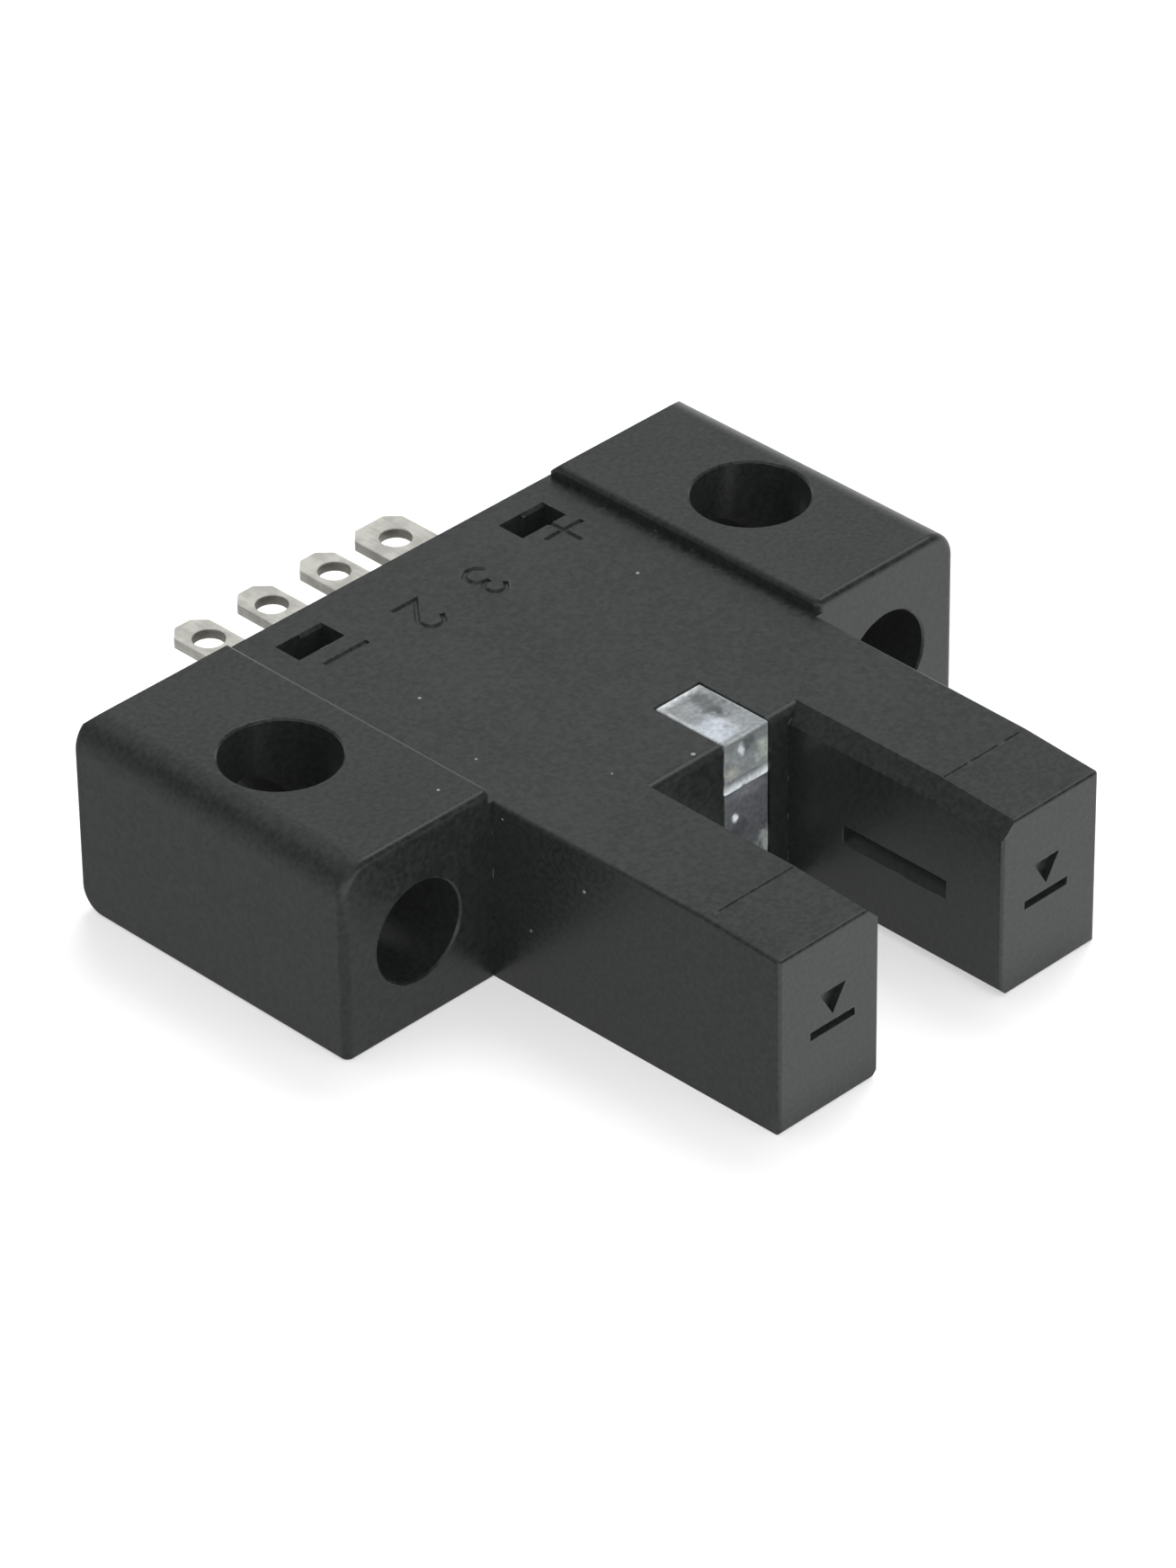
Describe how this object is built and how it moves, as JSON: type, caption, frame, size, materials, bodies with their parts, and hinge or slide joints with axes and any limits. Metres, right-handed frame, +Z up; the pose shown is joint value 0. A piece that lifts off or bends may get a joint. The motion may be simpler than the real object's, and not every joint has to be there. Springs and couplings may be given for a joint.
{
  "type": "fork photoelectric sensor",
  "caption": "Compact fork-shaped light-barrier sensor: black case with mounting ears, a sensing slot between its arms, a clear indicator guide and flat terminals.",
  "frame": {"origin": "midway between the vertical mounting holes, on the underside", "axes": "+Z up out of the top, -Y out of the fork's open end, +Y out of the terminals, X across the mounting ears"},
  "size_m": [0.0248, 0.0269, 0.0064],
  "materials": {
    "black_plastic": "satin moulded black with a soft sheen",
    "clear_guide": "clear, slightly frosted on top",
    "tinned_terminal": "tin plated, satin",
    "board_laminate": "green glass epoxy laminate",
    "optic_resin": "dark infrared resin",
    "infrared_window": "smooth, dark, passes infrared",
    "lead_frame": "tinned",
    "indicator_lens": "clear resin on a white base",
    "component_mould": "fine matt black",
    "chip_ceramic": "black glaze with tinned ends",
    "capacitor_ceramic": "tan ceramic with tinned ends"
  },
  "bodies": {
    "root": {"case": "black_plastic", "base_cover": "black_plastic", "terminal_holder": "black_plastic", "light_guide": "clear_guide", "terminal_minus": "tinned_terminal", "terminal_output": "tinned_terminal", "terminal_light": "tinned_terminal", "terminal_plus": "tinned_terminal", "circuit_board": "board_laminate", "emitter_led": "optic_resin", "receiver_chip": "optic_resin", "emitter_window": "infrared_window", "receiver_window": "infrared_window", "emitter_leads": "lead_frame", "receiver_leads": "lead_frame", "indicator_led": "indicator_lens", "amplifier_ic": "component_mould", "output_transistor": "component_mould", "protection_diode": "component_mould", "resistor_led": "chip_ceramic", "resistor_pull_up": "chip_ceramic", "resistor_base": "chip_ceramic", "supply_capacitor": "capacitor_ceramic"}
  },
  "joints": []
}
